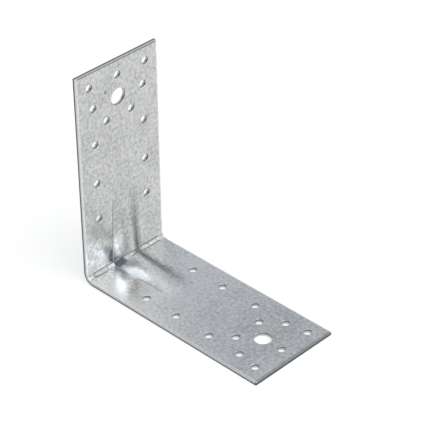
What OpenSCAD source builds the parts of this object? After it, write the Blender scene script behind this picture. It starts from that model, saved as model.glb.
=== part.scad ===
// Reinforced angle bracket: one strip of galvanised sheet steel, punched, folded to a right angle
// and stiffened by a rib pressed through the fold. Sizes in mm. +X runs out along the base leg,
// +Z up the wall leg and Y across the sheet. The origin is on the underside, below the middle.

/* [Sheet] */

// length of the wall leg, from the underside to its top
wall_leg = 145; // [120:1:220]
// length of the base leg, from the back to its tip
base_leg = 145; // [120:1:220]
// width of the strip
width = 65; // [60:1:100]
// thickness of the sheet
sheet = 2.5; // [1.5:0.25:3]
// inside radius of the fold
fold_radius = 4.5; // [2:0.5:6]
// rounding that the shears leave on the inner edge of each tip
tip_round = 0.8; // [0.2:0.1:1]

/* [Crease along the fold] */

// width of the crease that the punch coins into the inside of the fold
crease_width = 2.8; // [1.5:0.1:4]
// depth of the crease along its sides
crease_depth = 0.3; // [0.1:0.05:0.5]
// plain length left between the crease and each edge of the strip
crease_margin = 5; // [2:0.5:12]

/* [Rib] */

// distance from the outer corner to each end of the rib
rib_reach = 52; // [40:1:70]
// height of the crest above both legs where the two crests meet
rib_height = 7; // [4:0.25:9]
// height of the crest at its ends, just before it runs out
rib_end_height = 0.8; // [0.4:0.1:2]
// width of the rib between its feet at the fold
rib_width = 21.2; // [18:0.2:28]
// width of the rib between its feet at its ends
rib_end_width = 17.4; // [12:0.2:26]
// fullness of the cross section, 2 for a plain arch and more for a flatter crest and steeper flanks
rib_fullness = 2.4; // [1.8:0.1:4]
// radius of the hollow corner where the two crests meet
rib_corner = 3; // [0.5:0.25:6]
// angle at which each end runs out into the leg
rib_run_out = 18; // [12:1:35]

/* [Nail holes] */

// diameter of the nail holes
nail_hole = 5; // [3:0.5:6]
// distance from the tip to the row of three
row_1_from_tip = 10; // [8:0.5:14]
// spacing of the row of three
row_1_pitch = 22.5; // [16:0.5:26]
// distance from the tip to the pair beside the bolt hole
row_2_from_tip = 25; // [20:0.5:30]
// distance from the tip to the close pair
row_3_from_tip = 37.5; // [34:0.5:42]
// spacing of the close pair
row_3_pitch = 20; // [14:0.5:26]
// distance from the tip to the pair behind the close pair
row_4_from_tip = 50; // [47:0.5:58]
// distance from the tip to the middle pair
row_5_from_tip = 77.5; // [66:0.5:84]
// distance from the tip to the pair nearest the fold
row_6_from_tip = 103; // [92:0.5:106]
// spacing of the four wide pairs
wide_pitch = 40; // [36:0.5:50]

/* [Bolt hole] */

// diameter of the bolt hole in each leg
bolt_hole = 11; // [8:0.5:14]
// distance from the tip to the bolt hole
bolt_from_tip = 25; // [20:0.5:30]

/* [Hidden] */

$fn = 64;

// radius of the outside of the fold
fold_outer = fold_radius + sheet;
// the outer corner, where the planes of the back and the underside meet
heel = [-base_leg / 2, 0, 0];
// every hole of a leg as [distance from the tip, place across the width, diameter]
holes = [
    for (side = [-1, 0, 1]) [row_1_from_tip, side * row_1_pitch, nail_hole],
    for (row = [row_2_from_tip, row_4_from_tip, row_5_from_tip, row_6_from_tip], side = [-0.5, 0.5])
        [row, side * wide_pitch, nail_hole],
    for (side = [-0.5, 0.5]) [row_3_from_tip, side * row_3_pitch, nail_hole],
    [bolt_from_tip, 0, bolt_hole],
];

// The rib is laid out on the plane that halves the fold. u runs along that plane's trace, 0 at the
// fold, + over the base leg and - up the wall leg, v is the distance from the outer corner along
// the diagonal and y is across the sheet. Both legs then follow from one formula by symmetry.

// v of the sheet at u, at a depth below its inner face
function skin(u, depth) =
    let (r = fold_radius + depth)
    abs(u) < r / sqrt(2)
        ? sqrt(2) * fold_outer - sqrt(r * r - u * u)
        : sqrt(2) * (sheet - depth) + abs(u);

// u and v of the crest at the end of the rib, and v of the corner between the two crests
end_u = (rib_reach - sheet - rib_end_height) / sqrt(2);
end_v = (rib_reach + sheet + rib_end_height) / sqrt(2);
corner_v = (sheet + rib_height) * sqrt(2);
// rise of the run-out for each mm of u
run_out = 2 * tan(rib_run_out) / (1 + tan(rib_run_out));
run_out_u = (rib_reach - sheet) / sqrt(2);

// a rounded |u|, flat over the fold
function soft(u, radius) = sqrt(u * u + radius * radius) - radius;
// the lower of two values, with the change from one to the other rounded over a band
function lower(a, b, band) =
    min(a, b) - pow(max(band - abs(a - b), 0), 2) / (4 * band);
// 0 at the fold and 1 at the ends of the rib
function outward(u) = soft(u, rib_corner) / soft(end_u, rib_corner);
// v of the crest
function crest(u) = corner_v + (end_v - corner_v) * outward(u);
// half the width of the rib between its feet
function foot(u) = (rib_width + (rib_end_width - rib_width) * outward(u)) / 2;
// the rib's cross section: 1 on the crest, 0 at the feet and below 0 outside them
function arch(q) = 1 - pow(abs(q), rib_fullness);
// v of the rib's inner face at u, q half widths from the middle
function face_v(u, q) =
    skin(u, 0) + lower(
        (crest(u) - skin(u, 0)) * arch(q),
        run_out * (run_out_u - abs(u)),
        0.4);
function face(u, q) = [u, q * foot(u), face_v(u, q)];
// the matching point of the outer face, one sheet thickness behind
function back(u, q) =
    let (
        d = 0.02,
        along = face(u + d, q) - face(u - d, q),
        across = face(u, q + d) - face(u, q - d),
        normal = cross(along, across)
    )
    face(u, q) - sheet * normal / norm(normal);
// from the rib's own [u, y, v] to x, y and z
function place(p) = [(p[2] + p[0]) / sqrt(2), p[1], (p[2] - p[0]) / sqrt(2)];

// stations along the rib, closer together at the fold
rib_rows = 60;
rib_columns = 26;
function station(i, reach) =
    let (k = 2 * i / rib_rows - 1) reach * sign(k) * pow(abs(k), 1.3);

// A closed solid under a lofted skin: top is a grid of [u, y, v] points, and the floor below it
// has one v for each row.
module lofted(top, floor_v) {
    rows = len(top);
    columns = len(top[0]);
    n = rows * columns;
    points = [
        for (row = top) each row,
        for (i = [0 : rows - 1], j = [0, columns - 1]) [top[i][j][0], top[i][j][1], floor_v[i]],
    ];
    function at(i, j) = i * columns + j;
    function left(i) = n + 2 * i;
    function right(i) = n + 2 * i + 1;
    faces = [
        for (i = [0 : rows - 2], j = [0 : columns - 2]) each
            [[at(i, j), at(i, j + 1), at(i + 1, j + 1)], [at(i, j), at(i + 1, j + 1), at(i + 1, j)]],
        for (i = [0 : rows - 2]) each [
            [left(i), left(i + 1), right(i + 1)],
            [left(i), right(i + 1), right(i)],
            [at(i, 0), at(i + 1, 0), left(i + 1)],
            [at(i, 0), left(i + 1), left(i)],
            [at(i, columns - 1), right(i), right(i + 1)],
            [at(i, columns - 1), right(i + 1), at(i + 1, columns - 1)]],
        for (j = [0 : columns - 2]) each
            [[left(0), at(0, j + 1), at(0, j)], [left(rows - 1), at(rows - 1, j), at(rows - 1, j + 1)]],
        [left(0), right(0), at(0, columns - 1)],
        [left(rows - 1), at(rows - 1, columns - 1), right(rows - 1)],
    ];
    polyhedron([for (p = points) place(p)], faces);
}

// what the rib adds on the inner side, down to a floor within the sheet
module rib_rise() {
    reach = run_out_u + 1;
    side = 1.06;
    us = [for (i = [0 : rib_rows]) station(i, reach)];
    lofted(
        [for (u = us) [for (j = [0 : rib_columns]) face(u, side * (2 * j / rib_columns - 1))]],
        [for (u = us) skin(u, 0.85 * sheet)]);
}

// what the pressing takes away on the outer side, from below the sheet up to the rib's outer face
module rib_hollow() {
    reach = run_out_u + 2;
    side = 1.3;
    us = [for (i = [0 : rib_rows]) station(i, reach)];
    top = [for (u = us) [for (j = [0 : rib_columns]) back(u, side * (2 * j / rib_columns - 1))]];
    lofted(top, [for (row = top) abs(row[0][0]) - 4 * sheet]);
}

// what the shears roll off the inner edge of a tip, with that edge at the origin
module rolled_off() {
    translate([-tip_round, -tip_round])
        difference() {
            square(tip_round + 1);
            circle(tip_round);
        }
}

// the fold seen from the side, from the outer corner at the origin
module side_view() {
    difference() {
        square([base_leg, wall_leg]);
        // the open inside of the angle
        difference() {
            translate([sheet, sheet]) square([base_leg, wall_leg]);
            difference() {
                translate([sheet, sheet]) square(fold_radius);
                translate([fold_outer, fold_outer]) circle(fold_radius);
            }
        }
        // the outside of the fold
        difference() {
            translate([-1, -1]) square(fold_outer + 1);
            translate([fold_outer, fold_outer]) circle(fold_outer);
        }
        // the rolled inner edges of the tips
        translate([base_leg, sheet]) rolled_off();
        translate([sheet, wall_leg]) rolled_off();
    }
}

// the crease on the inside of the fold, on both sides of the rib
module crease() {
    side_v = sqrt(2) * fold_outer - sqrt(pow(fold_radius, 2) - pow(crease_width / 2, 2));
    length = width - 2 * crease_margin;
    rotate([0, 45, 0])
        translate([-crease_width / 2, -length / 2, side_v - crease_depth])
            cube([crease_width, length, fold_radius]);
}

// the punched holes of both legs, from the outer corner
module bores() {
    for (h = holes) {
        translate([base_leg - h[0], h[1], -1]) cylinder(d = h[2], h = sheet + 2);
        translate([-1, h[1], wall_leg - h[0]]) rotate([0, 90, 0]) cylinder(d = h[2], h = sheet + 2);
    }
}

module angle_bracket() {
    color("silver")
        translate(heel)
            difference() {
                union() {
                    difference() {
                        rotate([90, 0, 0])
                            linear_extrude(height = width, center = true)
                                side_view();
                        crease();
                    }
                    rib_rise();
                }
                rib_hollow();
                bores();
            }
}

angle_bracket();
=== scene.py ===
"""Reinforced angle bracket: a strip of galvanised sheet steel, sheared, punched, folded and ribbed.

The strip is made as it is in the press shop: a flat blank with sheared edges, then the punched
holes, then the fold and the pressed rib. Sizes are in metres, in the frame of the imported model.
"""
import math
from itertools import product
from typing import NamedTuple

import bpy
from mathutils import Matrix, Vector


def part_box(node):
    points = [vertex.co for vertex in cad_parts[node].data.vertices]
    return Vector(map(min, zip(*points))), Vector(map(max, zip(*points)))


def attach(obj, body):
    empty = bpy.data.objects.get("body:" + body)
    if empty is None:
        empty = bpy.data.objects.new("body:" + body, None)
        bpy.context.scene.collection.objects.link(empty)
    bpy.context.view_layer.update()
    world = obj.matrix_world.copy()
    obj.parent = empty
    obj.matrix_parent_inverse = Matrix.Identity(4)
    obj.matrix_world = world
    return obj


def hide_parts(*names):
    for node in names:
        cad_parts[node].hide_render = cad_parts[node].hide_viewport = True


bl_info = {
    "name": "Reinforced Angle Bracket",
    "version": (1, 0, 0),
    "blender": (4, 5, 0),
    "location": "View3D > Sidebar > Bracket",
    "description": "Builds a ribbed angle bracket of galvanised sheet steel and a plain studio",
    "category": "Object",
}

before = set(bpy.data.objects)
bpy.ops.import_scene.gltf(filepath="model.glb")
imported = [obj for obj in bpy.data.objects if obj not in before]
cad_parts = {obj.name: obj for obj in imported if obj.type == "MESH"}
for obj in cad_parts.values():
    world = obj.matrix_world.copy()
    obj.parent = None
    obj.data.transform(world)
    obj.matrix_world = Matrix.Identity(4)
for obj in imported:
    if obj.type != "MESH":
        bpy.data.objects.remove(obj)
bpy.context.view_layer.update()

NODE = "angle_bracket"
MM = 0.001
LOW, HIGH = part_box(NODE)
# cosine of the angle between each leg and the plane that halves the fold
DIAGONAL = math.sqrt(0.5)
# edges of the strip that are sharper than this are shaded as sharp
SHARP_ANGLE = math.radians(34)


def linear(colour):
    """A colour written as sRGB hex, as the linear values that shaders use."""
    parts = [int(colour[i:i + 2], 16) / 255 for i in (1, 3, 5)]
    return tuple(c / 12.92 if c <= 0.04045 else ((c + 0.055) / 1.055) ** 2.4 for c in parts) + (1.0,)


def length(name, description, default, **more):
    """A size in metres."""
    return bpy.props.FloatProperty(
        name=name, description=description, default=default, unit="LENGTH", subtype="DISTANCE",
        precision=5, min=0.0, **more)


def tint(name, description, default):
    """A colour, with its default written as sRGB hex."""
    return bpy.props.FloatVectorProperty(
        name=name, description=description, default=linear(default), subtype="COLOR", size=4,
        min=0.0, max=1.0)


def share(name, description, default):
    """A number from 0 to 1."""
    return bpy.props.FloatProperty(
        name=name, description=description, default=default, subtype="FACTOR", min=0.0, max=1.0)


def brightness(name, description, default):
    """How bright a lamp's face is, where 1 is the white of the picture."""
    return bpy.props.FloatProperty(name=name, description=description, default=default, min=0.0)


class SheetSizes(bpy.types.PropertyGroup):
    """Sizes of the folded strip."""
    leg: length("Leg", "Length of each leg, from the outer corner to its tip", HIGH.x - LOW.x)
    width: length("Width", "Width of the strip", HIGH.y - LOW.y)
    thickness: length("Thickness", "Thickness of the sheet", 2.5 * MM)
    fold_radius: length("Fold Radius", "Inside radius of the fold", 4.5 * MM)
    edge_roll: length("Edge Roll", "Rounding that the shears leave on the inner edges", 0.55 * MM)
    burr: length("Burr", "Small break along the outer edges", 0.12 * MM)
    crease_width: length("Crease Width", "Width of the crease coined into the fold", 2.8 * MM)
    crease_depth: length("Crease Depth", "Depth of the crease along its sides", 0.3 * MM)
    crease_margin: length("Crease Margin", "Plain length between crease and edge", 5 * MM)


class RibSizes(bpy.types.PropertyGroup):
    """Sizes of the rib that is pressed through the fold."""
    reach: length("Reach", "Distance from the outer corner to each end of the rib", 52 * MM)
    height: length("Height", "Height of the crest above both legs where the crests meet", 7 * MM)
    end_height: length("End Height", "Height of the crest just before it runs out", 0.8 * MM)
    foot_width: length("Width", "Width between the feet at the fold", 21.2 * MM)
    end_width: length("End Width", "Width between the feet at the ends", 17.4 * MM)
    fullness: bpy.props.FloatProperty(
        name="Fullness", description="2 for a plain arch, more for a flatter crest and steeper flanks",
        default=2.4, min=1.5, max=5.0)
    corner: length("Corner", "Radius of the hollow corner where the two crests meet", 3 * MM)
    run_out: bpy.props.FloatProperty(
        name="Run-out", description="Angle at which each end runs out into its leg",
        default=math.radians(18), unit="ROTATION", subtype="ANGLE")
    foot_fillet: length("Foot Fillet", "Half the width of the rounding along each foot", 0.55 * MM)


class HoleSizes(bpy.types.PropertyGroup):
    """Sizes and places of the punched holes, which are the same in both legs."""
    nail: length("Nail Hole", "Diameter of the nail holes", 5 * MM)
    bolt: length("Bolt Hole", "Diameter of the bolt holes", 11 * MM)
    rim: length("Rim", "Rounding that the punch draws in around each hole", 0.14 * MM)
    triple: length("Row of Three", "Distance from the tip to the row of three", 10 * MM)
    triple_pitch: length("Row of Three Pitch", "Spacing of the row of three", 22.5 * MM)
    wide_1: length("Wide Pair 1", "Distance from the tip to the pair beside the bolt hole", 25 * MM)
    wide_2: length("Wide Pair 2", "Distance from the tip to the second wide pair", 50 * MM)
    wide_3: length("Wide Pair 3", "Distance from the tip to the third wide pair", 77.5 * MM)
    wide_4: length("Wide Pair 4", "Distance from the tip to the pair nearest the fold", 103 * MM)
    wide_pitch: length("Wide Pitch", "Spacing of the wide pairs", 40 * MM)
    close: length("Close Pair", "Distance from the tip to the close pair", 37.5 * MM)
    close_pitch: length("Close Pitch", "Spacing of the close pair", 20 * MM)
    bolt_place: length("Bolt Place", "Distance from the tip to the bolt hole", 25 * MM)


class FinishLook(bpy.types.PropertyGroup):
    """Colours and gloss of the zinc and of the sheared edges, with the painted shade, highlights and
    reflections on them.
    """
    zinc: tint("Zinc", "Colour of the zinc coat", "#CCCCCC")
    zinc_dark: tint("Dark Zinc", "Colour of the darker grains and specks", "#7E807F")
    cut: tint("Cut Steel", "Colour of the cut edges where the blade entered", "#C4C7C9")
    edge: tint("Broken Steel", "Colour of the cut edges where the steel broke", "#56595B")
    roughness: share("Roughness", "Roughness of the zinc coat", 0.38)
    burnished: share("Burnished Roughness", "Roughness where the press has burnished it", 0.16)
    # painted shade that darkens the fold's strip
    fold_shade: share("Fold Tone", "How dull the coat is where the fold has stretched it", 0.84)
    # painted dark reflections by the heel, and painted shade along the near foot
    dark_reflection_colour: tint("Scuffed Zinc", "Colour of the coat where the tool has scuffed it", "#8E989F")
    # painted highlights and reflections around the heel, and along the rolled side edges
    highlight_colour: tint("Polished Zinc", "Colour of the streaks that the tool has polished", "#F4FAFE")
    # painted shade lines along the crease and the rib's feet
    shade_line_tone: share("Line Tone", "How dark the lines of the crease and the rib's feet are", 0.36)
    # painted shade on the rib's far flank
    far_flank_shade: share("Drag Tone", "How dark the rib's far flank is, where the die dragged", 0.7)


class StudioLook(bpy.types.PropertyGroup):
    """Floor, light and camera."""
    floor: tint("Floor", "Colour of the floor", "#ADADAD")
    floor_lift: share("Floor Lift", "How far the floor is lifted to white where it is seen", 0.6)
    room: tint("Room", "Colour of the room around the object", "#A8A8A8")
    backdrop: tint("Backdrop", "Colour of the cooler side behind the wall leg", "#E1E7EE")
    ceiling: tint("Ceiling", "Colour of the brighter ceiling", "#E6E6E6")
    plain: tint("Plain Light", "Colour of the panels", "#FFFFFF")
    right: brightness("Right Panel", "Brightness of the panel behind the base leg", 1.85)
    key: brightness("Key Panel", "Brightness of the panel to the right of the camera", 1.7)
    camera_place: bpy.props.FloatVectorProperty(
        name="Camera Place", description="Where the camera stands", subtype="TRANSLATION",
        unit="LENGTH", precision=5, default=(0.646081, -0.644009, 0.698879))
    camera_turn: bpy.props.FloatVectorProperty(
        name="Camera Turn", description="How the camera is turned", subtype="EULER",
        default=tuple(math.radians(a) for a in (55.4259, 0.6337, 44.3595)))
    lens: bpy.props.FloatProperty(
        name="Focal Length", description="On a sensor 36 mm wide, in millimetres", default=161.175)


def add(tree, kind, settings=None, inputs=None):
    """Adds a node with its settings, and gives each input a value or a link."""
    node = tree.nodes.new(kind)
    for name, value in (settings or {}).items():
        setattr(node, name, value)
    for name, value in (inputs or {}).items():
        for each in value if isinstance(value, list) else [value]:
            if isinstance(each, bpy.types.NodeSocket):
                tree.links.new(each, node.inputs[name])
            else:
                node.inputs[name].default_value = each
    return node


def work_out(tree, known, steps):
    """Adds a chain of math nodes. Each step is a result's name, an operation, which keeps its
    result from 0 to 1 if it ends in !, and what it works on. So MULTIPLY_ADD! is a ramp from 0 to
    1, given by its slope and its offset."""
    for result, operation, *terms in steps:
        terms = [known[t] if isinstance(t, str) else t for t in terms]
        settings = {"operation": operation.rstrip("!"), "use_clamp": operation.endswith("!")}
        known[result] = add(tree, "ShaderNodeMath", settings, dict(enumerate(terms))).outputs[0]
    return known


def new_tree(name, sizes, geometry=True, outputs=()):
    """A tree of geometry nodes with named inputs for its sizes."""
    tree = bpy.data.node_groups.new(name, "GeometryNodeTree")
    if geometry:
        tree.interface.new_socket("Geometry", in_out="INPUT", socket_type="NodeSocketGeometry")
        tree.interface.new_socket("Geometry", in_out="OUTPUT", socket_type="NodeSocketGeometry")
    for size in sizes:
        tree.interface.new_socket(size, in_out="INPUT", socket_type="NodeSocketFloat")
    for output, kind in outputs:
        tree.interface.new_socket(output, in_out="OUTPUT", socket_type="NodeSocket" + kind)
    known = {s.name: s for s in add(tree, "NodeGroupInput").outputs if s.name}
    return tree, known


def by_name(group, prefix=""):
    """The values of a group of sizes, by the names that they have in the panel."""
    names = {key: group.bl_rna.properties[key].name for key in group.__annotations__}
    return {prefix + name: getattr(group, key) for key, name in names.items()}


def run_tree(piece, tree, values):
    """Puts the tree on a piece as a modifier, with its inputs set by their sockets' identifiers."""
    modifier = piece.modifiers.new(tree.name, "NODES")
    modifier.node_group = tree
    for item in tree.interface.items_tree:
        if item.item_type == "SOCKET" and item.in_out == "INPUT" and item.name in values:
            modifier[item.identifier] = values[item.name]


def plain_mesh(piece):
    """Turns the result of a piece's modifiers into its own mesh and removes them."""
    bpy.context.view_layer.update()
    evaluated = piece.evaluated_get(bpy.context.evaluated_depsgraph_get())
    mesh = bpy.data.meshes.new_from_object(evaluated)
    piece.modifiers.clear()
    piece.data = mesh
    return mesh


def new_piece(name, vertices, faces):
    """An object at the origin from points and faces."""
    mesh = bpy.data.meshes.new(name)
    mesh.from_pydata(vertices, [], faces)
    if mesh.validate():
        raise RuntimeError(f"{name}: the mesh had faults")
    piece = bpy.data.objects.new(name, mesh)
    bpy.context.collection.objects.link(piece)
    return piece


# the flat blank

def fold_arc(sheet):
    """Length on the blank from the middle of the fold to where each leg starts."""
    return sheet.fold_radius * math.pi / 4


def on_blank(sheet, reach):
    """Where a distance from the outer corner along a leg lies on the blank, from its middle."""
    return reach - sheet.fold_radius - sheet.thickness + fold_arc(sheet)


def crease_side(sheet):
    """Half the width of the crease, along the blank."""
    return math.asin(sheet.crease_width / 2 / sheet.fold_radius) * sheet.fold_radius


def spaced(stops):
    """Values from 0 on. Each stop is where a stretch ends and how long the steps up to there are."""
    values = [0.0]
    for end, step in stops:
        start = values[-1]
        count = max(1, round((end - start) / step))
        values += [start + (end - start) * (k + 1) / count for k in range(count)]
    return values


def sheared_blank(sheet, rib):
    """The flat strip: x along it from the middle of the fold, y across it, inner face at z = 0.
    Its lines are close where the fold and the rib will be, and its edges are rolled by the shears."""
    half_length, half_width = on_blank(sheet, sheet.leg), sheet.width / 2
    crease, rib_end = crease_side(sheet), on_blank(sheet, rib.reach)
    foot, end_foot = rib.foot_width / 2, rib.end_width / 2
    # half the narrow bands at the crease's sides and ends, and a line beside the rolled edges
    side_band, end_band, beside_roll = 0.08 * MM, 0.1 * MM, 0.4 * MM
    # longer than any stretch, which is then one step
    whole = 1.0
    along = spaced([
        # the crease up to its side, the fold and the corner of the rib
        (crease - side_band, 0.27 * MM), (crease + side_band, 0.16 * MM),
        (fold_arc(sheet), 0.3 * MM), (12 * MM, 0.4 * MM),
        # the rib and its run-out, the plain leg and the rolled edge
        (rib_end - 8 * MM, 0.7 * MM), (rib_end + 1.5 * MM, 0.45 * MM),
        (half_length - sheet.edge_roll - beside_roll, whole), (half_length, whole)])
    across = spaced([
        # the rib's back, its feet and what lies beside them
        (end_foot - 1 * MM, 0.45 * MM), (foot + 1 * MM, 0.22 * MM), (foot + 3.4 * MM, 0.8 * MM),
        # the end of the crease and the rolled edge
        (half_width - sheet.crease_margin - end_band, whole),
        (half_width - sheet.crease_margin + end_band, whole),
        (half_width - sheet.edge_roll - beside_roll, whole), (half_width, whole)])
    xs = [-v for v in reversed(along[1:])] + along
    ys = [-v for v in reversed(across[1:])] + across
    nx, ny = len(xs), len(ys)

    def point(i, j, inset, depth):
        x = math.copysign(half_length - inset, xs[i]) if i in (0, nx - 1) else xs[i]
        y = math.copysign(half_width - inset, ys[j]) if j in (0, ny - 1) else ys[j]
        return x, y, -depth

    rim = ([(i, 0) for i in range(nx - 1)] + [(nx - 1, j) for j in range(ny - 1)]
           + [(i, ny - 1) for i in range(nx - 1, 0, -1)] + [(0, j) for j in range(ny - 1, 0, -1)])
    # the edge's rings as inset and depth: the roll, the end of the blade's cut, the broken edge
    roll_steps, cut_share, break_share = 6, 0.55, 0.3
    turns = [math.pi / 2 * k / roll_steps for k in range(1, roll_steps + 1)]
    roll, thick, burr = sheet.edge_roll, sheet.thickness, sheet.burr
    profile = [(roll * (1 - math.sin(a)), roll * (1 - math.cos(a))) for a in turns]
    profile += [(0, thick * cut_share), (0, thick - burr)]
    profile += [(burr * break_share, thick - burr * break_share)]

    vertices = [point(i, j, roll, 0) for i, j in product(range(nx), range(ny))]
    top = len(vertices)
    for inset, depth in profile:
        vertices += [point(i, j, inset, depth) for i, j in rim]
    under = len(vertices)
    vertices += [point(i, j, burr, thick) for i, j in product(range(nx), range(ny))]

    faces = []
    for i, j in product(range(nx - 1), range(ny - 1)):
        a = i * ny + j
        faces.append((a, a + ny, a + ny + 1, a + 1))
        faces.append((under + a, under + a + 1, under + a + ny + 1, under + a + ny))
    rings = [[i * ny + j for i, j in rim]]
    rings += [[top + k * len(rim) + n for n in range(len(rim))] for k in range(len(profile))]
    rings += [[under + i * ny + j for i, j in rim]]
    for upper, lower in zip(rings, rings[1:]):
        for n in range(len(rim)):
            m = (n + 1) % len(rim)
            faces.append((upper[m], upper[n], lower[n], lower[m]))
    return new_piece("pressed_bracket", vertices, faces)


# the punched holes

# each row of nail holes of a leg: its place, its pitch and how many holes it has
ROWS = (
    ("Row of Three", "Row of Three Pitch", 3), ("Wide Pair 1", "Wide Pitch", 2),
    ("Close Pair", "Close Pitch", 2), ("Wide Pair 2", "Wide Pitch", 2),
    ("Wide Pair 3", "Wide Pitch", 2), ("Wide Pair 4", "Wide Pitch", 2),
)
NAIL_SIDES = 48
BOLT_SIDES = 80


def punching_tree():
    """Punches both legs: rows of points across the strip carry the punches, which are cut out."""
    rows = sorted({name for row in ROWS for name in row[:2]})
    sizes = ["Half Length", "Thickness", "Nail Hole", "Bolt Hole", "Rim", "Bolt Place"] + rows
    tree, known = new_tree("Punched Holes", sizes)
    work_out(tree, known, [
        ("rim length", "MULTIPLY", "Rim", 2.0),
        ("punch length", "MULTIPLY", "Thickness", 2.0),
        ("bolt x", "SUBTRACT", "Half Length", "Bolt Place")])
    nails = []
    for place, pitch, count in ROWS:
        work_out(tree, known, [
            ("x", "SUBTRACT", "Half Length", place),
            ("y", "MULTIPLY", pitch, -(count - 1) / 2)])
        start = add(tree, "ShaderNodeCombineXYZ", inputs={"X": known["x"], "Y": known["y"]})
        step = add(tree, "ShaderNodeCombineXYZ", inputs={"Y": known[pitch]})
        nails.append(add(tree, "GeometryNodeMeshLine", inputs={
            "Count": count, "Start Location": start.outputs[0], "Offset": step.outputs[0]}).outputs[0])
    bolt_start = add(tree, "ShaderNodeCombineXYZ", inputs={"X": known["bolt x"]})
    bolts = [add(tree, "GeometryNodeMeshLine", inputs={
        "Count": 1, "Start Location": bolt_start.outputs[0]}).outputs[0]]
    punches = []
    for points, diameter, sides in ((nails, "Nail Hole", NAIL_SIDES), (bolts, "Bolt Hole", BOLT_SIDES)):
        one_leg = add(tree, "GeometryNodeJoinGeometry", inputs={0: points[::-1]})
        other_leg = add(tree, "GeometryNodeTransform", inputs={
            "Geometry": one_leg.outputs[0], "Scale": (-1, 1, 1)})
        both = add(tree, "GeometryNodeJoinGeometry", inputs={
            0: [one_leg.outputs[0], other_leg.outputs[0]]})
        # a punch has three rings: its foot, its shoulder just inside the sheet and a wider head
        work_out(tree, known, [("radius", "MULTIPLY", diameter, 0.5)])
        punch = add(tree, "GeometryNodeMeshCylinder", inputs={
            "Vertices": sides, "Side Segments": 2, "Radius": known["radius"], "Depth": 2.0})
        place = add(tree, "ShaderNodeSeparateXYZ", inputs={
            0: add(tree, "GeometryNodeInputPosition").outputs[0]})
        known.update({"x": place.outputs[0], "y": place.outputs[1], "z": place.outputs[2]})
        work_out(tree, known, [
            ("head", "MAXIMUM", "z", 0.0),
            ("foot", "MINIMUM", "z", 0.0),
            ("spread", "DIVIDE", "rim length", "radius"),
            ("grow", "MULTIPLY_ADD", "spread", "head", 1.0),
            ("new x", "MULTIPLY", "x", "grow"),
            ("new y", "MULTIPLY", "y", "grow"),
            ("head z", "MULTIPLY", "head", "rim length"),
            ("all z", "MULTIPLY_ADD", "foot", "punch length", "head z"),
            ("new z", "SUBTRACT", "all z", "Rim")])
        place = add(tree, "ShaderNodeCombineXYZ", inputs={
            "X": known["new x"], "Y": known["new y"], "Z": known["new z"]})
        punch = add(tree, "GeometryNodeSetPosition", inputs={
            "Geometry": punch.outputs["Mesh"], "Position": place.outputs[0]})
        placed = add(tree, "GeometryNodeInstanceOnPoints", inputs={
            "Points": both.outputs[0], "Instance": punch.outputs[0]})
        punches.append(add(tree, "GeometryNodeRealizeInstances", inputs={
            0: placed.outputs[0]}).outputs[0])
    cut = add(tree, "GeometryNodeMeshBoolean", {"operation": "DIFFERENCE", "solver": "EXACT"}, {
        "Mesh 1": known["Geometry"], "Mesh 2": punches})
    plain = add(tree, "GeometryNodeRealizeInstances", inputs={0: cut.outputs[0]})
    add(tree, "NodeGroupOutput", inputs={"Geometry": plain.outputs[0]})
    return tree


# the fold and the rib

FACE_SIZES = (
    "Thickness", "Fold Radius", "Rib Reach", "Rib Height", "Rib End Height", "Rib Width",
    "Rib End Width", "Rib Fullness", "Rib Corner", "Rib Run-out", "Rib Foot Fillet")


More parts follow.
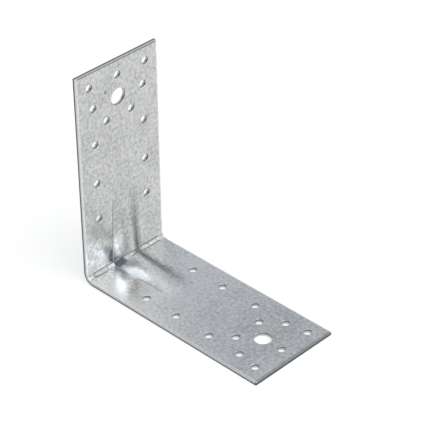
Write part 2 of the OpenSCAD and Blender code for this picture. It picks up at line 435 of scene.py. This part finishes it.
def face_tree():
    """The inner face of the folded strip as one rule. u is the distance from the plane that halves
    the fold, v the distance from the outer corner along the diagonal; the rib is a rise of v."""
    tree, known = new_tree("Pressed Face", ("Along", "Across") + FACE_SIZES, geometry=False, outputs=(
        ("Point", "Vector"), ("Feet", "Float")))
    run_out_band, least_fillet = 0.8 * MM, 0.05 * MM
    work_out(tree, known, [
        # the folded strip
        ("side", "SIGN", "Along"),
        ("from fold", "ABSOLUTE", "Along"),
        ("arc", "MULTIPLY", "Fold Radius", math.pi / 4),
        ("on arc", "MINIMUM", "from fold", "arc"),
        ("turn", "DIVIDE", "on arc", "Fold Radius"),
        ("on leg", "SUBTRACT", "from fold", "on arc"),
        ("leg share", "MULTIPLY", "on leg", DIAGONAL),
        ("sine", "SINE", "turn"),
        ("cosine", "COSINE", "turn"),
        ("u", "MULTIPLY_ADD", "sine", "Fold Radius", "leg share"),
        ("outer radius", "ADD", "Fold Radius", "Thickness"),
        ("centre v", "MULTIPLY", "outer radius", 1 / DIAGONAL),
        ("arc v", "MULTIPLY", "cosine", "Fold Radius"),
        ("fold v", "SUBTRACT", "centre v", "arc v"),
        ("skin v", "ADD", "fold v", "leg share"),
        # the crest of the rib
        ("end rise", "ADD", "Thickness", "Rib End Height"),
        ("end across", "SUBTRACT", "Rib Reach", "end rise"),
        ("end along", "ADD", "Rib Reach", "end rise"),
        ("end u", "MULTIPLY", "end across", DIAGONAL),
        ("end v", "MULTIPLY", "end along", DIAGONAL),
        ("corner rise", "ADD", "Thickness", "Rib Height"),
        ("corner v", "MULTIPLY", "corner rise", 1 / DIAGONAL),
        ("crest fall", "SUBTRACT", "end v", "corner v"),
        ("end u squared", "MULTIPLY", "end u", "end u"),
        ("end sum", "MULTIPLY_ADD", "Rib Corner", "Rib Corner", "end u squared"),
        ("end root", "SQRT", "end sum"),
        ("soft end", "SUBTRACT", "end root", "Rib Corner"),
        ("u squared", "MULTIPLY", "u", "u"),
        ("corner sum", "MULTIPLY_ADD", "Rib Corner", "Rib Corner", "u squared"),
        ("corner root", "SQRT", "corner sum"),
        ("soft u", "SUBTRACT", "corner root", "Rib Corner"),
        ("to end", "DIVIDE", "soft u", "soft end"),
        ("crest v", "MULTIPLY_ADD", "crest fall", "to end", "corner v"),
        ("crest gap", "SUBTRACT", "crest v", "skin v"),
        ("crest height", "MAXIMUM", "crest gap", 0.0),
        # the feet and the arch between them
        ("taper", "SUBTRACT", "Rib End Width", "Rib Width"),
        ("between feet", "MULTIPLY_ADD", "taper", "to end", "Rib Width"),
        ("foot", "MULTIPLY", "between feet", 0.5),
        ("q", "DIVIDE", "Across", "foot"),
        ("feet", "ABSOLUTE", "q"),
        ("fall share", "POWER", "feet", "Rib Fullness"),
        ("arch", "SUBTRACT", 1.0, "fall share"),
        ("arched", "MULTIPLY", "crest height", "arch"),
        # where the ends run out into the legs
        ("run slope", "TANGENT", "Rib Run-out"),
        ("run double", "MULTIPLY", "run slope", 2.0),
        ("run sum", "ADD", "run slope", 1.0),
        ("run v", "DIVIDE", "run double", "run sum"),
        ("end flat", "SUBTRACT", "Rib Reach", "Thickness"),
        ("run left", "MULTIPLY", "end flat", DIAGONAL),
        ("run ahead", "SUBTRACT", "run left", "u"),
        ("run out", "MULTIPLY", "run ahead", "run v"),
        ("bare rise", "SMOOTH_MIN", "arched", "run out", run_out_band),
        # the rounding along the feet, equally wide everywhere
        ("steep rise", "MULTIPLY", "Rib Fullness", "crest height"),
        ("slope at foot", "DIVIDE", "steep rise", "foot"),
        ("fillet band", "MULTIPLY", "slope at foot", "Rib Foot Fillet"),
        ("fillet", "MAXIMUM", "fillet band", least_fillet),
        ("rise", "SMOOTH_MAX", "bare rise", 0.0, "fillet"),
        ("v", "ADD", "skin v", "rise"),
        # back to x and z
        ("signed u", "MULTIPLY", "u", "side"),
        ("x sum", "ADD", "v", "signed u"),
        ("x", "MULTIPLY", "x sum", DIAGONAL),
        ("z sum", "SUBTRACT", "v", "signed u"),
        ("z", "MULTIPLY", "z sum", DIAGONAL),
    ])
    point = add(tree, "ShaderNodeCombineXYZ", inputs={
        "X": known["x"], "Y": known["Across"], "Z": known["z"]})
    add(tree, "NodeGroupOutput", inputs={"Point": point.outputs[0], "Feet": known["feet"]})
    return tree


def pressing_tree(zinc, edge):
    """Folds the punched blank and presses its rib and crease. Every point keeps its depth below
    the inner face, so the sheet is equally thick everywhere."""
    sizes = ("Leg", "Width", "Crease Width", "Crease Depth", "Crease Margin") + FACE_SIZES
    tree, known = new_tree("Fold and Rib", sizes)
    face = face_tree()
    blank = add(tree, "GeometryNodeInputPosition").outputs[0]
    split = add(tree, "ShaderNodeSeparateXYZ", inputs={0: blank})
    known.update({"s": split.outputs[0], "y": split.outputs[1], "z": split.outputs[2]})
    near = 0.04 * MM
    work_out(tree, known, [
        ("s before", "SUBTRACT", "s", near), ("s after", "ADD", "s", near),
        ("y before", "SUBTRACT", "y", near), ("y after", "ADD", "y", near)])
    points = []
    for s, y in (("s", "y"), ("s before", "y"), ("s after", "y"), ("s", "y before"), ("s", "y after")):
        points.append(add(tree, "GeometryNodeGroup", {"node_tree": face}, dict(
            {name: known[name] for name in FACE_SIZES}, Along=known[s], Across=known[y])))
    here = points[0].outputs["Point"]
    run = [add(tree, "ShaderNodeVectorMath", {"operation": "SUBTRACT"}, {
        0: points[b].outputs["Point"], 1: points[a].outputs["Point"]}).outputs[0]
        for a, b in ((1, 2), (3, 4))]
    normal = add(tree, "ShaderNodeVectorMath", {"operation": "CROSS_PRODUCT"}, {0: run[0], 1: run[1]})
    normal = add(tree, "ShaderNodeVectorMath", {"operation": "NORMALIZE"}, {0: normal.outputs[0]})
    down = add(tree, "ShaderNodeVectorMath", {"operation": "SCALE"}, {
        0: normal.outputs[0], "Scale": known["z"]})
    moved = add(tree, "ShaderNodeVectorMath", {"operation": "ADD"}, {0: here, 1: down.outputs[0]})
    known["feet"] = points[0].outputs["Feet"]
    # The crease has a flat floor square to the diagonal, and ends short of the edges and of the rib.
    # It starts this many half widths from the rib's middle and deepens at this slope.
    skin, rib_gap, rib_slope = 0.2 * MM, 1.02, 12.0
    work_out(tree, known, [
        ("half crease", "MULTIPLY", "Crease Width", 0.5),
        ("crease sine", "DIVIDE", "half crease", "Fold Radius"),
        ("crease turn", "ARCSINE", "crease sine"),
        ("crease side", "MULTIPLY", "crease turn", "Fold Radius"),
        ("s size", "ABSOLUTE", "s"),
        ("in crease", "LESS_THAN", "s size", "crease side"),
        ("half width", "MULTIPLY", "Width", 0.5),
        ("crease end", "SUBTRACT", "half width", "Crease Margin"),
        ("y size", "ABSOLUTE", "y"),
        ("before end", "LESS_THAN", "y size", "crease end"),
        ("inner face", "GREATER_THAN", "z", -skin),
        ("clear of rib", "SUBTRACT", "feet", rib_gap),
        ("beside rib", "MULTIPLY!", "clear of rib", rib_slope),
        ("turn here", "DIVIDE", "s size", "Fold Radius"),
        ("cosine here", "COSINE", "turn here"),
        ("cosine side", "COSINE", "crease turn"),
        ("cosine gap", "SUBTRACT", "cosine here", "cosine side"),
        ("bulge", "MULTIPLY", "cosine gap", "Fold Radius"),
        ("depth", "SUBTRACT", "Crease Depth", "bulge"),
        ("crease area", "MULTIPLY", "in crease", "before end"),
        ("on inner face", "MULTIPLY", "crease area", "inner face"),
        ("crease share", "MULTIPLY", "on inner face", "beside rib"),
        ("sunk", "MULTIPLY", "crease share", "depth"),
        ("sunk part", "MULTIPLY", "sunk", -DIAGONAL),
        ("heel x", "MULTIPLY", "Leg", -0.5),
        ("shift x", "ADD", "sunk part", "heel x")])
    shift = add(tree, "ShaderNodeCombineXYZ", inputs={"X": known["shift x"], "Z": known["sunk part"]})
    final = add(tree, "ShaderNodeVectorMath", {"operation": "ADD"}, {
        0: moved.outputs[0], 1: shift.outputs[0]})
    # the material follows the flat blank, and the sheared faces are those that stand upright in it
    facing = add(tree, "GeometryNodeInputNormal")
    facing = add(tree, "ShaderNodeSeparateXYZ", inputs={0: facing.outputs[0]})
    least_level = 0.6
    work_out(tree, known, [
        ("level", "ABSOLUTE", facing.outputs[2]),
        ("sheared", "LESS_THAN", "level", least_level)])
    stored = add(tree, "GeometryNodeStoreNamedAttribute", {"data_type": "FLOAT_VECTOR", "domain": "POINT"}, {
        "Geometry": known["Geometry"], "Name": "blank", "Value": blank})
    stored = add(tree, "GeometryNodeStoreNamedAttribute", {"data_type": "FLOAT", "domain": "FACE"}, {
        "Geometry": stored.outputs[0], "Name": "sheared", "Value": known["sheared"]})
    stored = add(tree, "GeometryNodeStoreNamedAttribute", {"data_type": "FLOAT", "domain": "POINT"}, {
        "Geometry": stored.outputs[0], "Name": "feet", "Value": known["feet"]})
    pressed = add(tree, "GeometryNodeSetPosition", inputs={
        "Geometry": stored.outputs[0], "Position": final.outputs[0]})
    smooth = add(tree, "GeometryNodeSetShadeSmooth", inputs={"Geometry": pressed.outputs[0]})
    whole = add(tree, "GeometryNodeRealizeInstances", inputs={0: smooth.outputs[0]})
    coated = add(tree, "GeometryNodeSetMaterial", inputs={"Geometry": whole.outputs[0], "Material": zinc})
    was_sheared = add(tree, "GeometryNodeInputNamedAttribute", {"data_type": "FLOAT"}, {"Name": "sheared"})
    sheared = add(tree, "GeometryNodeSetMaterial", inputs={
        "Geometry": coated.outputs[0], "Selection": was_sheared.outputs["Attribute"], "Material": edge})
    add(tree, "NodeGroupOutput", inputs={"Geometry": sheared.outputs[0]})
    return tree


# the materials

def new_material(name):
    """A material with an empty tree and its output."""
    material = bpy.data.materials.new(name)
    material.use_nodes = True
    tree = material.node_tree
    tree.nodes.clear()
    return material, tree, add(tree, "ShaderNodeOutputMaterial")


def blank_place(tree):
    """Where on the flat blank a point of the strip comes from, as one vector and as s, y and z."""
    blank = add(tree, "ShaderNodeAttribute", {"attribute_name": "blank"}).outputs["Vector"]
    split = add(tree, "ShaderNodeSeparateXYZ", inputs={0: blank})
    return blank, dict(zip("syz", split.outputs))


def mixed(tree, amount, low, high):
    """A colour from the first at 0 to the second at 1."""
    return add(tree, "ShaderNodeMix", {"data_type": "RGBA"}, {0: amount, 6: low, 7: high}).outputs[2]


class Mark(NamedTuple):
    """A soft oval on the flat blank: its middle along and across, half its length and width, its
    turn in degrees, and how much it darkens, how much painted light it adds (below 0: painted dark
    reflection or shade) and how much it smooths the zinc.
    Sizes are in mm, + along the base leg and - along the wall leg, with the near side below 0."""
    along: float
    across: float
    long: float
    wide: float
    turn: float = 0.0
    dark: float = 0.0
    polish: float = 0.0
    gloss: float = 0.0


MARKS = (
    # the press tool has smoothed the near side of the heel
    Mark(0, -14, 30, 18, gloss=0.85),
    # painted highlights: the bright streaks of reflection on the rib's burnished near flank, over the base
    # leg and up the wall leg
    Mark(15.5, -8, 8.5, 2.4, turn=2, polish=2.4),
    Mark(-12, -7, 8.5, 2.6, turn=-3, polish=0.65),
    # painted reflections: the bright and darker stripes beside them on the legs
    Mark(16.5, -21, 12.5, 3.4, turn=-37, polish=1.25),
    Mark(-16, -21, 11, 3, turn=37, dark=0.12),
    Mark(-10, -19, 6, 2.4, turn=40, polish=0.3),
    # painted dark reflections: the dark patch on the heel, and the dark spots between the rib and the
    # stripes
    Mark(2, -7.2, 9.5, 2.6, polish=-1.5),
    Mark(7.5, -5, 4, 2, polish=-0.6),
    Mark(13.5, -14.5, 4, 2.6, turn=-25, polish=-1.1),
    Mark(-13.5, -15, 4.5, 2.6, turn=30, polish=-0.5),
    # painted shade, light and reflection: darker and lighter areas of the base leg
    Mark(27, -20, 9, 3, turn=-50, dark=0.42),
    Mark(48, 0, 38, 60, dark=-0.15),
    Mark(14, -31, 18, 6, dark=-0.3),
    Mark(30, 26, 20, 8, dark=-0.12),
    Mark(115, 12, 50, 32, dark=0.14),
    # painted shade and light: darker and lighter areas of the wall leg and of the rib
    Mark(-30, -24, 9, 7, dark=0.25),
    Mark(-30, -1, 18, 7, dark=0.13),
    Mark(36, -4, 10, 3, dark=-0.15, polish=0.1),
    Mark(28, 6, 14, 4, dark=0.18),
    Mark(-13, 0, 8, 4, dark=0.12),
    # one dark speck near the bolt hole of the wall leg
    Mark(-123.5, -9.9, 0.9, 0.7, dark=1.2),
)


def add_marks(tree, known):
    """Adds every mark to marks, painted light and gloss, fading out from the mark's middle."""
    for each in MARKS:
        cos, sin = math.cos(math.radians(each.turn)), math.sin(math.radians(each.turn))
        long, wide = each.long * MM, each.wide * MM
        work_out(tree, known, [
            ("ds", "SUBTRACT", "s", each.along * MM),
            ("dy", "SUBTRACT", "y", each.across * MM),
            ("dy lengthwise", "MULTIPLY", "dy", sin / long),
            ("lengthwise", "MULTIPLY_ADD", "ds", cos / long, "dy lengthwise"),
            ("dy crosswise", "MULTIPLY", "dy", cos / wide),
            ("crosswise", "MULTIPLY_ADD", "ds", -sin / wide, "dy crosswise"),
            ("crosswise squared", "MULTIPLY", "crosswise", "crosswise"),
            ("size", "MULTIPLY_ADD", "lengthwise", "lengthwise", "crosswise squared"),
            ("thinning", "MULTIPLY", "size", -1.0),
            ("mark", "EXPONENT", "thinning"),
            ("marks", "MULTIPLY_ADD", "mark", each.dark, "marks"),
            ("polish", "MULTIPLY_ADD", "mark", each.polish, "polish"),
            ("gloss", "MULTIPLY_ADD", "mark", each.gloss, "gloss")])


def galvanised_steel(look, sheet, rib):
    """Hot-dip galvanised sheet steel: a dull metal skin of zinc with a fine, mottled grain about
    2 mm across and darker specks. The press tool has burnished it around the rib's heel, with
    painted highlights and painted dark reflections there, and thin lines of painted shade follow the
    crease, the rib's feet and the tips. The fold's strip and the rib's far flank carry painted shade,
    the legs painted lighter and darker areas, and the rolled edges along the sides a painted highlight."""
    material, tree, output = new_material("galvanised_sheet_steel")
    blank, known = blank_place(tree)
    known["feet"] = add(tree, "ShaderNodeAttribute", {"attribute_name": "feet"}).outputs["Fac"]
    # noises, each with its grain size, detail and roughness
    for name, size, detail, roughness in (
            ("grain", 2.2 * MM, 3.0, 0.6), ("cloud", 16 * MM, 2.0, 0.5), ("speck", 1.5 * MM, 1.0, 0.5)):
        known[name] = add(tree, "ShaderNodeTexNoise", inputs={
            "Vector": blank, "Scale": 1 / size, "Detail": detail, "Roughness": roughness}).outputs[0]
    crease, rib_end, tip = crease_side(sheet), on_blank(sheet, rib.reach), on_blank(sheet, sheet.leg)
    # how deep the marks go on a rolled edge, and the widths of the painted shade lines and rolled edges
    skin, line, tip_line, rolled = 0.6 * MM, 0.5 * MM, 0.4 * MM, 1.1 * MM
    # lengths over which the fold's strip, the foot lines and the painted shade of the far flank fade
    soft, line_fade, flank_shade_fade, corner_fade = 0.4 * MM, 9 * MM, 30 * MM, 5 * MM
    # the middle tone, and the strengths of the noises around it
    even, grain, cloud, specks, grain_roughness = 0.21, 1.7, 0.5, 0.5, 0.2
    # strengths of the painted shade lines, and how much less painted shade the fold has beside the rib and
    # in the crease
    crease_line, far_foot_line, beside_rib, within_crease = 2.8, 0.5, 0.17, 0.02
    # how much painted shade darkens the near foot, and how much painted highlight the rolled edges get
    near_foot_shade, edge_highlight = 0.8, 0.4
    work_out(tree, known, [
        ("s size", "ABSOLUTE", "s"),
        ("y size", "ABSOLUTE", "y"),
        ("inner face", "GREATER_THAN", "z", -skin),
        # the mottled grain
        ("grain part", "MULTIPLY_ADD", "grain", grain, -grain / 2),
        ("cloud part", "MULTIPLY_ADD", "cloud", cloud, -cloud / 2),
        ("tone", "ADD", "grain part", "cloud part"),
        ("specks", "MULTIPLY_ADD!", "speck", 9.0, -6.1),
        # painted shade: the dark lines along the sides of the crease
        ("from side", "SUBTRACT", "s size", crease),
        ("off side", "ABSOLUTE", "from side"),
        ("side line", "MULTIPLY_ADD!", "off side", -1 / line, 1.2),
        ("before end", "LESS_THAN", "y size", sheet.width / 2 - sheet.crease_margin),
        ("beside rib", "GREATER_THAN", "feet", 1.0),
        ("crease part", "MULTIPLY", "before end", "beside rib"),
        ("crease line", "MULTIPLY", "side line", "crease part"),
        ("strong crease line", "MULTIPLY", "crease line", crease_line),
        # painted shade: the dark lines along the rib's feet, stronger along the near one
        ("from foot", "SUBTRACT", "feet", 1.0),
        ("off foot", "ABSOLUTE", "from foot"),
        ("foot side", "MULTIPLY_ADD!", "off foot", -rib.foot_width / 2 / line, 1.2),
        ("to rib end", "SUBTRACT", rib_end, "s size"),
        ("near rib end", "MULTIPLY_ADD!", "to rib end", 1 / line_fade, -0.1),
        ("foot line", "MULTIPLY", "foot side", "near rib end"),
        ("near side", "LESS_THAN", "y", 0.0),
        ("near foot line", "MULTIPLY", "foot line", "near side"),
        ("foot share", "MULTIPLY_ADD", "near side", 1 - far_foot_line, far_foot_line),
        ("shared foot line", "MULTIPLY", "foot line", "foot share"),
        ("lines", "MAXIMUM", "strong crease line", "shared foot line"),
        # painted shade: the dark line along the rolled edge of each tip
        ("past tip line", "SUBTRACT", "s size", tip - rolled),
        ("tip line", "MULTIPLY!", "past tip line", 1 / tip_line),
        # painted shade on the strip of the fold, between the lines of the crease
        ("inside crease", "SUBTRACT", crease, "s size"),
        ("in fold", "MULTIPLY_ADD!", "inside crease", 1 / soft, 0.5),
        ("tone beside rib", "MULTIPLY_ADD", "beside rib", -beside_rib, look.fold_shade),
        ("tone across", "MULTIPLY_ADD", "before end", -within_crease, "tone beside rib"),
        ("fold part", "MULTIPLY", "in fold", "tone across"),
        # painted shade on the rib's far flank, darker up to its foot
        ("far side", "GREATER_THAN", "y", 0.0),
        ("into flank", "MULTIPLY_ADD!", "feet", 3.0, -0.75),
        ("out of flank", "MULTIPLY_ADD!", "feet", -2.4, 3.4),
        ("flank", "MULTIPLY", "into flank", "out of flank"),
        ("far flank", "MULTIPLY", "flank", "far side"),
        ("long end", "MULTIPLY_ADD!", "to rib end", 1 / flank_shade_fade, 0.1),
        # it starts clear of the corner between the crests
        ("clear of corner", "MULTIPLY_ADD!", "s size", 1 / corner_fade, 0.4),
        ("along flank", "MULTIPLY", "long end", "clear of corner"),
        ("dragged", "MULTIPLY", "far flank", "along flank"),
        ("drag part", "MULTIPLY", "dragged", look.far_flank_shade),
        ("marks", "ADD", "tip line", "drag part"),
        # painted shade along the near foot, and a painted highlight on the rolled edge of each side
        ("side edge", "GREATER_THAN", "y size", sheet.width / 2 - rolled),
        ("clean edge", "MULTIPLY", "side edge", edge_highlight),
        ("polish", "MULTIPLY_ADD", "near foot line", -near_foot_shade, "clean edge")])
    # only the marks smooth the zinc
    known["gloss"] = 0.0
    add_marks(tree, known)
    work_out(tree, known, [
        ("speck part", "MULTIPLY_ADD", "specks", specks, "fold part"),
        ("mark part", "MULTIPLY_ADD", "lines", look.shade_line_tone, "marks"),
        ("inner marks", "MULTIPLY_ADD", "mark part", "inner face", "speck part"),
        ("grainy", "SUBTRACT", even, "tone"),
        ("dark", "ADD", "grainy", "inner marks"),
        ("dull", "MULTIPLY_ADD", "tone", -grain_roughness, look.roughness),
        ("gloss inside", "MULTIPLY", "gloss", "inner face"),
        ("rough", "MULTIPLY_ADD", "gloss inside", look.burnished - look.roughness, "dull"),
        ("polish inside", "MULTIPLY!", "polish", "inner face"),
        ("scuff", "MULTIPLY", "polish", -1.0),
        ("scuff inside", "MULTIPLY!", "scuff", "inner face")])
    colour = mixed(tree, known["dark"], tuple(look.zinc), tuple(look.zinc_dark))
    # painted highlights and reflections
    colour = mixed(tree, known["polish inside"], colour, tuple(look.highlight_colour))
    # painted dark reflections by the heel, and painted shade along the near foot
    colour = mixed(tree, known["scuff inside"], colour, tuple(look.dark_reflection_colour))
    bump = add(tree, "ShaderNodeBump", inputs={
        "Strength": 0.25, "Distance": 0.02 * MM, "Height": known["grain"]})
    shader = add(tree, "ShaderNodeBsdfPrincipled", inputs={
        "Base Color": colour, "Metallic": 1.0, "Roughness": known["rough"],
        "Normal": bump.outputs[0]})
    tree.links.new(shader.outputs[0], output.inputs[0])
    return material


def sheared_steel(look, sheet):
    """Bare steel where the shears and the punches cut the sheet: a smoother band where the blade
    entered, then a darker, rougher break. The tip of the base leg carries painted shade, and the
    holes' mouths are darker steel with painted shade."""
    material, tree, output = new_material("sheared_steel_edge")
    # a cut this close to the strip's outline belongs to it, and any other to a hole
    edge = 1 * MM
    tip, side = on_blank(sheet, sheet.leg) - edge, sheet.width / 2 - edge
    # how dark a hole's mouth is, partly as painted shade, how rough the cut is, and how much rougher the
    # break
    mouth_tone, smoothest, roughened = 0.85, 0.35, 0.2
    known = work_out(tree, blank_place(tree)[1], [
        ("deep", "DIVIDE", "z", -sheet.thickness),
        ("s size", "ABSOLUTE", "s"),
        ("y size", "ABSOLUTE", "y"),
        ("clear of tip", "LESS_THAN", "s size", tip),
        ("clear of side", "LESS_THAN", "y size", side),
        ("hole", "MULTIPLY", "clear of tip", "clear of side"),
        # the sides break low in the sheet
        ("broken side", "MULTIPLY_ADD!", "deep", 3.0, -1.1),
        # painted shade: the tip of the base leg is darker than the wall leg's tip
        ("base tip", "GREATER_THAN", "s", tip),
        ("tip tone", "MULTIPLY_ADD!", "deep", 0.4, 0.7),
        ("broken tip", "MULTIPLY", "base tip", "tip tone"),
        ("broken", "MAXIMUM", "broken side", "broken tip"),
        # the holes are darker at the mouth and brighter below: darker steel, and painted shade where the
        # walls face away from the light
        ("near mouth", "MULTIPLY_ADD!", "deep", -2.5, 1.6),
        ("mouth", "MULTIPLY", "near mouth", mouth_tone),
        ("change", "SUBTRACT", "mouth", "broken"),
        ("dark", "MULTIPLY_ADD", "hole", "change", "broken"),
        ("rough", "MULTIPLY_ADD", "dark", roughened, smoothest)])
    colour = mixed(tree, known["dark"], tuple(look.cut), tuple(look.edge))
    shader = add(tree, "ShaderNodeBsdfPrincipled", inputs={
        "Base Color": colour, "Metallic": 1.0, "Roughness": known["rough"]})
    tree.links.new(shader.outputs[0], output.inputs[0])
    return material


# the operators

class BRACKET_OT_pressed_strip(bpy.types.Operator):
    """Builds the strip: sheared, punched, folded and ribbed"""
    bl_idname = "bracket.pressed_strip"
    bl_label = "Pressed Strip"

    def execute(self, context):
        scene = context.scene
        sheet, rib, look = scene.bracket_sheet, scene.bracket_rib, scene.bracket_finish
        zinc, edge = galvanised_steel(look, sheet, rib), sheared_steel(look, sheet)
        piece = sheared_blank(sheet, rib)
        piece.data.materials.append(zinc)
        sizes = by_name(sheet) | by_name(rib, "Rib ") | by_name(scene.bracket_holes)
        sizes["Half Length"] = on_blank(sheet, sheet.leg)
        run_tree(piece, punching_tree(), sizes)
        run_tree(piece, pressing_tree(zinc, edge), sizes)
        mesh = plain_mesh(piece)
        mesh.set_sharp_from_angle(angle=SHARP_ANGLE)
        if len(mesh.materials) != 2:
            raise RuntimeError("the strip should have a coated and a sheared material")
        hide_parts(NODE)
        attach(piece, "root")
        return {"FINISHED"}


class BRACKET_OT_studio(bpy.types.Operator):
    """Sets a plain pale floor, soft light and the camera"""
    bl_idname = "bracket.studio"
    bl_label = "Studio"

    def execute(self, context):
        look = context.scene.bracket_studio
        half = 4
        corners = [(-half, -half, 0), (half, -half, 0), (half, half, 0), (-half, half, 0)]
        floor = new_piece("floor", corners, [(0, 1, 2, 3)])
        floor.data.materials.append(studio_floor(look))
        surround(look)
        panel("right_panel", look.right, look.plain, size=1.2, place=(0.85, 0.85, 0.85))
        panel("key_panel", look.key, look.plain, size=2.1, place=(1.1, -0.36, 1.25))
        data = bpy.data.cameras.new("camera")
        data.sensor_width, data.lens = 36, look.lens
        data.clip_start, data.clip_end = 0.01, 50
        camera = bpy.data.objects.new("camera", data)
        camera.location, camera.rotation_euler = look.camera_place, look.camera_turn
        context.collection.objects.link(camera)
        context.scene.camera = camera
        context.scene.view_settings.view_transform = "Standard"
        return {"FINISHED"}


def panel(name, bright, colour, size, place, target=(0, 0, 0.05)):
    """A square light panel that faces a point. Its power follows from its size and brightness."""
    lamp = bpy.data.lights.new(name, "AREA")
    lamp.shape, lamp.size, lamp.color = "SQUARE", size, colour[:3]
    lamp.energy = bright * math.pi * size ** 2
    holder = bpy.data.objects.new(name, lamp)
    holder.location = place
    holder.rotation_euler = (Vector(target) - Vector(place)).to_track_quat("-Z", "Y").to_euler()
    holder.visible_camera = False
    bpy.context.collection.objects.link(holder)


def seen_directly(tree):
    """1 for rays from the camera, in reflections and through glass, else 0."""
    path = add(tree, "ShaderNodeLightPath")
    known = {name: path.outputs[name] for name in ("Is Camera Ray", "Is Glossy Ray", "Is Transmission Ray")}
    return work_out(tree, known, [
        ("either", "MAXIMUM", "Is Camera Ray", "Is Glossy Ray"),
        ("any", "MAXIMUM", "either", "Is Transmission Ray")])["any"]


def studio_floor(look):
    """White paper sweep: matt, and lifted to white where the camera or a reflection sees it."""
    material, tree, output = new_material("white_paper")
    paper = add(tree, "ShaderNodeBsdfDiffuse", inputs={"Color": tuple(look.floor)})
    lift = work_out(tree, {"seen": seen_directly(tree)}, [
        ("lift", "MULTIPLY", "seen", look.floor_lift)])["lift"]
    glow = add(tree, "ShaderNodeEmission", inputs={"Strength": lift})
    lifted = add(tree, "ShaderNodeAddShader", inputs={0: paper.outputs[0], 1: glow.outputs[0]})
    tree.links.new(lifted.outputs[0], output.inputs[0])
    return material


def surround(look):
    """A bright, even room with a cooler side behind the wall leg and a brighter ceiling."""
    world = bpy.data.worlds.new("surround")
    bpy.context.scene.world = world
    world.use_nodes = True
    tree = world.node_tree
    tree.nodes.clear()
    direction = add(tree, "ShaderNodeTexCoord").outputs["Generated"]
    colour = tuple(look.room)
    # each part has a middle, and the cosines from there at which it starts and is full
    for part, middle, start, end in (
            (look.backdrop, (-0.6, 0.6, 0.5), 0.2, 0.8),
            (look.ceiling, (0, 0, 1), 0.75, 0.95)):
        toward = add(tree, "ShaderNodeVectorMath", {"operation": "DOT_PRODUCT"}, {
            0: direction, 1: Vector(middle).normalized()})
        amount = add(tree, "ShaderNodeMapRange", {"interpolation_type": "SMOOTHSTEP"}, {
            "Value": toward.outputs["Value"], "From Min": start, "From Max": end})
        colour = mixed(tree, amount.outputs[0], colour, tuple(part))
    room = add(tree, "ShaderNodeBackground", inputs={"Color": colour})
    output = add(tree, "ShaderNodeOutputWorld")
    tree.links.new(room.outputs[0], output.inputs[0])


class BRACKET_PT_panel(bpy.types.Panel):
    """Lists the operators and the sizes"""
    bl_idname = "BRACKET_PT_panel"
    bl_label = "Angle Bracket"
    bl_space_type = "VIEW_3D"
    bl_region_type = "UI"
    bl_category = "Bracket"

    def draw(self, context):
        for operator in (BRACKET_OT_pressed_strip, BRACKET_OT_studio):
            self.layout.operator(operator.bl_idname)
        for name in GROUPS:
            group = getattr(context.scene, name)
            box = self.layout.box()
            for key in group.__annotations__:
                box.prop(group, key)


GROUPS = {
    "bracket_sheet": SheetSizes, "bracket_rib": RibSizes, "bracket_holes": HoleSizes,
    "bracket_finish": FinishLook, "bracket_studio": StudioLook}
CLASSES = (*GROUPS.values(), BRACKET_OT_pressed_strip, BRACKET_OT_studio, BRACKET_PT_panel)


def register():
    for each in CLASSES:
        bpy.utils.register_class(each)
    for name, group in GROUPS.items():
        setattr(bpy.types.Scene, name, bpy.props.PointerProperty(type=group))


def unregister():
    for name in GROUPS:
        delattr(bpy.types.Scene, name)
    for each in reversed(CLASSES):
        bpy.utils.unregister_class(each)


def main():
    register()
    bpy.ops.bracket.pressed_strip()
    bpy.ops.bracket.studio()


if __name__ == "__main__":
    main()
